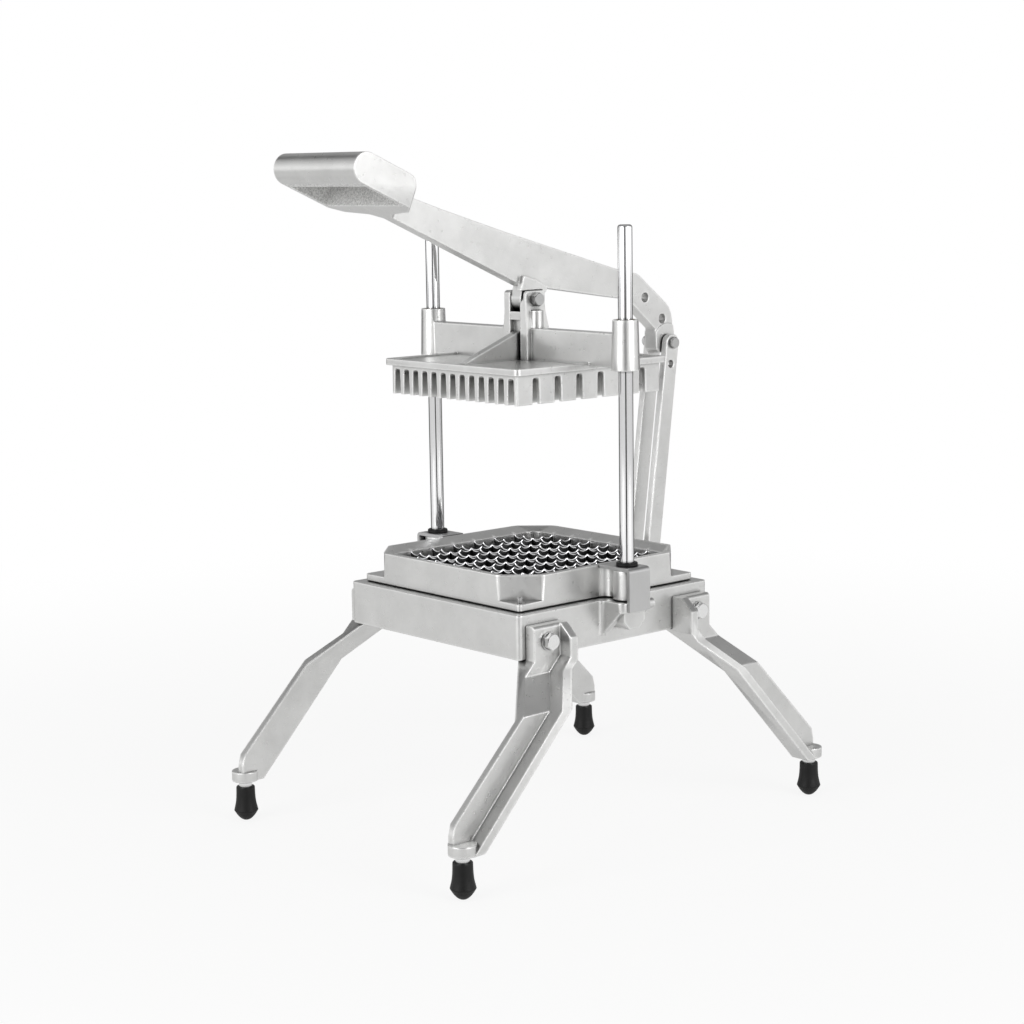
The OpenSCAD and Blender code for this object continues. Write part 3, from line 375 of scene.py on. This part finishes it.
def new_object(name, shape, mat):
    """An object in the scene, made from a bmesh and given a material."""
    mesh = bpy.data.meshes.new(name)
    shape.to_mesh(mesh)
    shape.free()
    mesh.materials.append(mat)
    obj = bpy.data.objects.new(name, mesh)
    bpy.context.scene.collection.objects.link(obj)
    return obj


def new_piece(name, shape, finish, body):
    """A piece from a bmesh, with its finish, riding on a body."""
    piece = new_object(name, shape, material(finish))
    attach(piece, body)
    return piece


def bevel(shape, edges, width, steps):
    """Cuts edges of a bmesh back by a width, and gives the new faces."""
    return bmesh.ops.bevel(shape, geom=edges, offset=width, offset_type="OFFSET", segments=steps,
                           profile=0.5, affect="EDGES", clamp_overlap=False, material=-1)["faces"]


def shade_smooth(shape):
    """Shades a bmesh smoothly, but for its sharp edges."""
    for face in shape.faces:
        face.smooth = True
    for edge in shape.edges:
        edge.smooth = len(edge.link_faces) == 2 and edge.calc_face_angle(0) < SHADED_TO


def in_line(vert):
    """Whether a corner is in the middle of a straight edge."""
    if len(vert.link_edges) != 2:
        return False
    one, two = (edge.other_vert(vert).co for edge in vert.link_edges)
    return (one - vert.co).angle(vert.co - two, 1) < STRAIGHT


def merged_solid(node):
    """A copy of a CAD node with its corners joined, and its flat faces whole but for those with holes."""
    shape = bmesh.new()
    shape.from_mesh(NODES[node].data)
    bmesh.ops.remove_doubles(shape, verts=shape.verts, dist=MERGED)
    bmesh.ops.dissolve_degenerate(shape, edges=shape.edges, dist=MERGED / 2)
    edges = sorted(shape.edges, key=lambda e: -e.calc_length())
    again = True
    while again:
        again = False
        for edge in edges:
            if not edge.is_valid or len(edge.link_faces) != 2:
                continue
            one, two = edge.link_faces
            if one.normal.dot(two.normal) < FLAT:
                continue
            # Joining faces that meet anywhere else would close a hole
            if len(set(one.verts) & set(two.verts)) == 2 and bmesh.utils.face_join([one, two]):
                again = True
    bmesh.ops.dissolve_verts(shape, verts=[v for v in shape.verts if in_line(v)])
    bmesh.ops.recalc_face_normals(shape, faces=shape.faces)
    shape.verts.index_update()
    return shape


def folded_corners(shape, whole):
    """The corners of the triangles that lie upside down where two roundings overlap.

    With whole set, each large triangle of these gives all the corners of its face.
    """
    corners = set()
    for loops in shape.calc_loop_triangles():
        first, second, third = (loop.vert.co for loop in loops)
        cross = (second - first).cross(third - first)
        face = loops[0].face
        if cross.length > FOLD_AREA and cross.dot(face.normal) < FOLD_COSINE * cross.length:
            if whole and cross.length > LARGE_FOLD_AREA:
                corners.update(face.verts)
            else:
                corners.update(loop.vert for loop in loops)
    return corners


def round_edges(shape, width, whole):
    """Rounds the sharp edges, but leaves sharp the corners with too little room for it."""
    corners = KDTree(len(shape.verts))
    for vert in shape.verts:
        corners.insert(vert.co, vert.index)
    corners.balance()
    keep = set()
    for _ in range(TRIES):
        work = shape.copy()
        sharp = [e for e in work.edges if len(e.link_faces) == 2 and e.calc_face_angle(0) > ROUNDED_FROM
                 and not keep & {v.index for v in e.verts}]
        bevel(work, sharp, width, steps=2)
        # Corners that have run away, and the ones that they came from
        gone = {v for v in work.verts if corners.find(v.co)[2] > RUN_AWAY * width}
        near = {e.other_vert(v) for v in gone for e in v.link_edges} - gone
        tight = {corners.find(v.co)[1] for v in near | folded_corners(work, whole)}
        if tight <= keep:
            shape.free()
            return work
        keep |= tight
        work.free()
    raise RuntimeError("the edges can't be rounded")


def rounded_copy(node, body, width, wide=0.0, chosen=None, rough=None):
    """A copy of a cast CAD node with its sharp edges rounded, standing for the node.

    The edges that chosen picks are rounded by wide first, and the faces that rough picks keep their skin.
    """
    shape = merged_solid(node)
    if chosen:
        bevel(shape, [e for e in shape.edges if chosen(e)], wide, steps=4)
        shape.verts.index_update()
    shape = round_edges(shape, width, bool(chosen))
    for face in shape.faces:
        face.material_index = int(bool(rough) and rough(face))
    shade_smooth(shape)
    piece = new_piece(node + "_finished", shape, "casting", body)
    if rough:
        piece.data.materials.append(material("skin"))
    # Flat faces stay flat up to their rounded edges
    flat = piece.modifiers.new("flat_faces", "WEIGHTED_NORMAL")
    flat.keep_sharp = True
    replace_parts(piece, node)


# How much the pusher head's thin fingers and the crisp lever are rounded, as shares of the rounding of
# the other castings, and the rounding of the blade frame's cut corners
HEAD_SHARE, LEVER_SHARE, CUT_ROUNDING = 0.75, 0.5, 2.6 * MM
# The upright edges at the cut corners are over CUT_NEAR from the middle along x and y both, and over
# CUT_FAR along one of them. They lean by less than LEAN, and are longer than the ledges are high, whose
# own corners are round already
CUT_NEAR, CUT_FAR, LEAN, LEDGE_HEIGHT = 70.0 * MM, 100.0 * MM, 0.1 * MM, 12.0 * MM


def corner_cuts(edge):
    """Whether an edge is one of the upright ones at the blade frame's cut corners."""
    one, two = (v.co for v in edge.verts)
    upright = abs(one.x - two.x) + abs(one.y - two.y) < LEAN and abs(one.z - two.z) > LEDGE_HEIGHT
    return upright and min(abs(one.x), abs(one.y)) > CUT_NEAR and max(abs(one.x), abs(one.y)) > CUT_FAR


# The clevis pivot's height, the raised lever's tilt, and the handle's pocket measured from that pivot:
# its ends along the lever, its roof above the lever's line, and half its width
PIVOT_Z, LEVER_TILT = 467.0 * MM, radians(23.5)
POCKET_REAR, POCKET_FRONT, POCKET_ROOF, POCKET_HALF = 197.5 * MM, 237.2 * MM, 28.8 * MM, 50.0 * MM
# How far outside the pocket a face's middle may lie
POCKET_MARGIN = 0.1 * MM


def in_pocket(face):
    """Whether a face of the lever is inside the handle's pocket."""
    centre = face.calc_center_median()
    along = -centre.y * cos(LEVER_TILT) + (centre.z - PIVOT_Z) * sin(LEVER_TILT)
    above = centre.y * sin(LEVER_TILT) + (centre.z - PIVOT_Z) * cos(LEVER_TILT)
    return (POCKET_REAR - POCKET_MARGIN < along < POCKET_FRONT + POCKET_MARGIN
            and above < POCKET_ROOF + POCKET_MARGIN and abs(centre.x) < POCKET_HALF + POCKET_MARGIN)


# The cutting edges lie within EDGE_ZONE of the blades' tops, and GROUND_OFF is ground from each side of
# them. The z of a normal is over LOOKS_UP on faces that look up, and under UPRIGHT on upright ones
EDGE_ZONE, GROUND_OFF, LOOKS_UP, UPRIGHT = 4.0 * MM, 0.3 * MM, 0.5, 0.01


def honed_copy(node, depth):
    """A copy of a CAD node of blades, its cutting edges ground on both faces, standing for the node."""
    shape = merged_solid(node)
    lowest = max(v.co.z for v in shape.verts) - EDGE_ZONE
    edges = [e for e in shape.edges if len(e.link_faces) == 2 and min(v.co.z for v in e.verts) > lowest
             and max(f.normal.z for f in e.link_faces) > LOOKS_UP
             and min(abs(f.normal.z) for f in e.link_faces) < UPRIGHT]
    ground = bevel(shape, edges, GROUND_OFF, steps=1)
    # The ground band runs further down the blade than across its edge
    low = {v for f in ground for v in f.verts if any(abs(g.normal.z) < UPRIGHT for g in v.link_faces)}
    for vert in low:
        vert.co.z -= depth
    shape.normal_update()
    for face in shape.faces:
        on_top = face.normal.z > LOOKS_UP and face.calc_center_median().z > lowest
        face.material_index = int(face in ground or on_top)
    piece = new_piece(node + "_honed", shape, "blade", "stand")
    piece.data.materials.append(material("blade_edge"))
    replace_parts(piece, node)


# A rubber foot's outline, as shares of its largest radius and of its height: the domed sole with its flat
# spot, the lip, the waist and the top edge, and then the hole for the stem
FOOT_OUTLINE = ((0, 0), (0.27, 0), (0.40, 0.025), (0.55, 0.068), (0.70, 0.125), (0.84, 0.195),
                (0.955, 0.262), (0.99, 0.278), (1.0, 0.294), (0.985, 0.315), (0.945, 0.37),
                (0.89, 0.45), (0.84, 0.54), (0.805, 0.65), (0.785, 0.78), (0.775, 0.955),
                (0.765, 0.985), (0.735, 1.0), (0.555, 1.0), (0.555, 0.455), (0, 0.455))
# The facets round a foot, and the distance under which its poles' corners are one
FOOT_FACETS, POLE = 40, 0.001 * MM


def moulded_foot(node):
    """A rubber foot with a straight waist, a flared lip and a domed sole, standing for the node."""
    low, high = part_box(node)
    radius, height = (high[0] - low[0]) / 2, high[2] - low[2]
    shape = bmesh.new()
    ring = [shape.verts.new((out * radius, 0, up * height)) for out, up in FOOT_OUTLINE]
    lines = [shape.edges.new(pair) for pair in zip(ring, ring[1:])]
    bmesh.ops.spin(shape, geom=ring + lines, cent=(0, 0, 0), axis=(0, 0, 1), angle=radians(360),
                   steps=FOOT_FACETS, use_merge=True)
    bmesh.ops.remove_doubles(shape, verts=shape.verts, dist=POLE)
    bmesh.ops.recalc_face_normals(shape, faces=shape.faces)
    middle = ((low[0] + high[0]) / 2, (low[1] + high[1]) / 2, low[2])
    bmesh.ops.translate(shape, vec=middle, verts=shape.verts)
    shade_smooth(shape)
    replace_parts(new_piece(node + "_moulded", shape, "rubber", "stand"), node)


class CUTTER_OT_castings(bpy.types.Operator):
    """Finishes the aluminium castings and rounds their edges"""
    bl_idname = "cutter.castings"
    bl_label = "Castings"

    def execute(self, context):
        width = context.scene.cutter_castings.rounding
        for node in ("base_casting", "front_left_leg", "front_right_leg", "rear_left_leg",
                     "rear_right_leg"):
            rounded_copy(node, "stand", width)
        rounded_copy("blade_frame", "stand", width, wide=CUT_ROUNDING, chosen=corner_cuts)
        rounded_copy("pusher_head", "pusher", width * HEAD_SHARE)
        rounded_copy("lever", "lever", width * LEVER_SHARE, rough=in_pocket)
        for node in ("left_link", "right_link"):
            rounded_copy(node, "links", width)
        return {"FINISHED"}


class CUTTER_OT_steel(bpy.types.Operator):
    """Finishes the posts, blades, straps, liners and bolts"""
    bl_idname = "cutter.steel"
    bl_label = "Steel parts"

    def execute(self, context):
        for node in ("left_guide_post", "right_guide_post"):
            finish_node(node, "post")
        for node in ("lengthwise_blades", "crosswise_blades"):
            honed_copy(node, context.scene.cutter_steel.hone)
        for node in ("left_strap", "right_strap"):
            finish_node(node, "sheet")
        for node in ("locating_stud", "clevis_bolt", "clevis_nut", "rear_bolt", "rear_nut",
                     "rear_washers", "low_bolt", "low_nut", "low_washers"):
            finish_node(node, "bolt")
        for node in ("leg_bolts", "leg_washers", "leg_nuts", "foot_stems"):
            finish_node(node, "leg_bolt")
        finish_node("bushing_liners", "bronze")
        return {"FINISHED"}


class CUTTER_OT_rubber(bpy.types.Operator):
    """Finishes the rubber feet and stop rings"""
    bl_idname = "cutter.rubber"
    bl_label = "Rubber parts"

    def execute(self, context):
        finish_node("stop_rings", "rubber")
        for node in ("front_left_foot", "front_right_foot", "rear_left_foot", "rear_right_foot"):
            moulded_foot(node)
        return {"FINISHED"}


# ---------------------------------------------------------------- stage

# The camera's place, its turn from +Y towards -X, downwards and about its own axis, the width of its film
# in millimetres, and the nearest and furthest that it sees
CAMERA_AT = (1.43699, -1.29254, 0.58011)
CAMERA_YAW, CAMERA_PITCH, CAMERA_ROLL = 48.44, 8.97, -0.84
FILM_WIDTH, NEAREST, FURTHEST = 36, 0.05, 60
# The soft lights: their distance and height, the height that they point at, and their width and height
LIGHT_AWAY, LIGHT_UP, LIGHT_AIM, LIGHT_SIZE = 2.2, 1.0, 0.35, (1.2, 1.5)
# Their turn in degrees to each side of the camera
LIGHT_TURN = 50
# The cards: each one's turn in degrees from the camera's side, width, distance and grey level. One before
# and one behind the object draw the posts' dark lines, and one on each side darkens their rims
CARDS = (("camera_flag", 0, 0.44, 1.25, 0.06), ("back_card", 180, 2.2, 1.30, 0.38),
         ("left_card", -128, 0.4, 1.15, 0.10), ("right_card", 128, 0.4, 1.15, 0.10))
# The cards' height, and the height of their middle
CARD_HEIGHT, CARD_MIDDLE = 2.4, 0.9
# Half the floor's side, and the distances from the object between which the board's glow takes over
FLOOR_HALF, GLOW_FROM, GLOW_TO = 9, 0.3, 1.5


def turned_to(place, target, front):
    """The matrix that puts a thing at a place and turns its front axis towards a target."""
    turn = (Vector(target) - Vector(place)).to_track_quat(front, "Y").to_matrix().to_4x4()
    return Matrix.Translation(place) @ turn


def around(turn, away, up):
    """A place: its turn in degrees from the camera's side, its distance from the middle, its height."""
    yaw = radians(CAMERA_YAW)
    toward = Vector((sin(yaw), -cos(yaw), 0))
    return Matrix.Rotation(radians(turn), 4, "Z") @ (toward * away) + Vector((0, 0, up))


def soft_light(name, place, power):
    """A rectangular soft light at a place, turned towards the object."""
    lamp = bpy.data.lights.new(name, "AREA")
    lamp.shape = "RECTANGLE"
    lamp.size, lamp.size_y = LIGHT_SIZE
    lamp.energy = power
    obj = bpy.data.objects.new(name, lamp)
    bpy.context.scene.collection.objects.link(obj)
    obj.matrix_world = turned_to(place, (0, 0, LIGHT_AIM), "-Z")


def room_light(look):
    """The world: plain white to the camera, and to the object a white room under a darker ceiling."""
    world = bpy.data.worlds.new("soft_room")
    bpy.context.scene.world = world
    tree = empty_tree(world)
    seen = add(tree, "ShaderNodeLightPath", out="Is Camera Ray")
    ray = add(tree, "ShaderNodeTexCoord", out="Generated")
    height = add(tree, "ShaderNodeSeparateXYZ", {"Vector": ray}, out="Z")
    room = add(tree, "ShaderNodeMapRange", {"Value": height, "From Min": 0.1, "From Max": 0.75,
                                            "To Min": look.walls, "To Max": look.ceiling})
    level = add(tree, "ShaderNodeMix", {"Factor": seen, "A": room, "B": 1.0}, data_type="FLOAT")
    sky = add(tree, "ShaderNodeBackground", {"Color": (1, 1, 1, 1), "Strength": level})
    add(tree, "ShaderNodeOutputWorld", {"Surface": sky})


def floor_finish(look):
    """Matt white board: it shows white with a soft shadow, and throws plain light back."""
    mat, tree, place = new_material("matt_white_board")
    # The glow takes over away from the object, so that the board has no far edge
    away = add(tree, "ShaderNodeVectorMath", {0: place}, out="Value", operation="LENGTH")
    fade = add(tree, "ShaderNodeMapRange", {"Value": away, "From Min": GLOW_FROM, "From Max": GLOW_TO,
                                            "To Min": 0.86, "To Max": 1.0},
               interpolation_type="SMOOTHSTEP")
    seen = add(tree, "ShaderNodeLightPath", out="Is Camera Ray")
    share = add(tree, "ShaderNodeMath", {0: seen, 1: fade}, operation="MULTIPLY")
    # Some of the glow reaches the metal too
    mirrored = add(tree, "ShaderNodeLightPath", out="Is Glossy Ray")
    share = add(tree, "ShaderNodeMath", {0: mirrored, 1: 0.4, 2: share}, operation="MULTIPLY_ADD")
    board = add(tree, "ShaderNodeBsdfDiffuse", {"Color": rgba(look.floor)})
    glow = add(tree, "ShaderNodeEmission", {"Color": (1, 1, 1, 1), "Strength": 1.0})
    both = add(tree, "ShaderNodeMixShader", {0: share, 1: board, 2: glow})
    add(tree, "ShaderNodeOutputMaterial", {"Surface": both})
    return mat


def white_floor(look):
    """The board that the object stands on."""
    shape = bmesh.new()
    bmesh.ops.create_grid(shape, x_segments=1, y_segments=1, size=FLOOR_HALF)
    new_object("floor", shape, floor_finish(look))


def card_finish(name, level):
    """Felt that shows one grey level from everywhere."""
    mat = bpy.data.materials.new(name + "_felt")
    tree = empty_tree(mat)
    glow = add(tree, "ShaderNodeEmission", {"Color": (level, level, level, 1), "Strength": 1.0})
    add(tree, "ShaderNodeOutputMaterial", {"Surface": glow})
    return mat


def flat_card(name, width, centre, level):
    """An upright card that faces the object, and that only metal sees."""
    shape = bmesh.new()
    bmesh.ops.create_grid(shape, x_segments=1, y_segments=1, size=0.5)
    bmesh.ops.scale(shape, vec=(width, CARD_HEIGHT, 1), verts=shape.verts)
    matrix = turned_to(centre, (0, 0, CARD_MIDDLE), "Z")
    bmesh.ops.transform(shape, matrix=matrix, verts=shape.verts)
    card = new_object(name, shape, card_finish(name, level))
    card.visible_camera = card.visible_diffuse = card.visible_shadow = card.visible_transmission = False
    card.visible_volume_scatter = False


def place_camera(look):
    """The camera that the scene is seen through."""
    lens = bpy.data.cameras.new("camera")
    lens.lens = look.lens
    lens.sensor_width = FILM_WIDTH
    lens.clip_start, lens.clip_end = NEAREST, FURTHEST
    camera = bpy.data.objects.new("camera", lens)
    bpy.context.scene.collection.objects.link(camera)
    turn = (Matrix.Rotation(radians(CAMERA_YAW), 4, "Z")
            @ Matrix.Rotation(radians(90 - CAMERA_PITCH), 4, "X")
            @ Matrix.Rotation(radians(CAMERA_ROLL), 4, "Z"))
    camera.matrix_world = Matrix.Translation(CAMERA_AT) @ turn
    bpy.context.scene.camera = camera


class CUTTER_OT_stage(bpy.types.Operator):
    """Sets up the floor, the lights and the camera"""
    bl_idname = "cutter.stage"
    bl_label = "Stage"

    def execute(self, context):
        look = context.scene.cutter_stage
        context.scene.view_settings.view_transform = "Standard"
        room_light(look)
        white_floor(look)
        soft_light("key_light", around(-LIGHT_TURN, LIGHT_AWAY, LIGHT_UP), look.key)
        soft_light("side_light", around(LIGHT_TURN, LIGHT_AWAY, LIGHT_UP), look.side)
        for name, turn, width, away, level in CARDS:
            flat_card(name, width, around(turn, away, CARD_MIDDLE), level)
        place_camera(look)
        return {"FINISHED"}


class CUTTER_PT_panel(bpy.types.Panel):
    """Lists the steps that dress the push cutter"""
    bl_label = "Push Cutter"
    bl_idname = "CUTTER_PT_panel"
    bl_space_type = "VIEW_3D"
    bl_region_type = "UI"
    bl_category = "Push Cutter"

    def draw(self, context):
        for name in ("stage", "castings", "steel", "rubber"):
            box = self.layout.box()
            box.operator("cutter." + name)
            group = getattr(context.scene, "cutter_" + name)
            for prop in group.bl_rna.properties.keys():
                if prop not in ("rna_type", "name"):
                    box.prop(group, prop)


GROUPS = {"cutter_castings": CUTTER_PG_castings, "cutter_steel": CUTTER_PG_steel,
          "cutter_rubber": CUTTER_PG_rubber, "cutter_stage": CUTTER_PG_stage}
CLASSES = (*GROUPS.values(), CUTTER_OT_stage, CUTTER_OT_castings, CUTTER_OT_steel, CUTTER_OT_rubber,
           CUTTER_PT_panel)


def register():
    for cls in CLASSES:
        bpy.utils.register_class(cls)
    for name, group in GROUPS.items():
        setattr(bpy.types.Scene, name, bpy.props.PointerProperty(type=group))


def unregister():
    for name in GROUPS:
        delattr(bpy.types.Scene, name)
    for cls in reversed(CLASSES):
        bpy.utils.unregister_class(cls)


def main():
    register()
    bpy.ops.cutter.stage()
    bpy.ops.cutter.castings()
    bpy.ops.cutter.steel()
    bpy.ops.cutter.rubber()


if __name__ == "__main__":
    main()
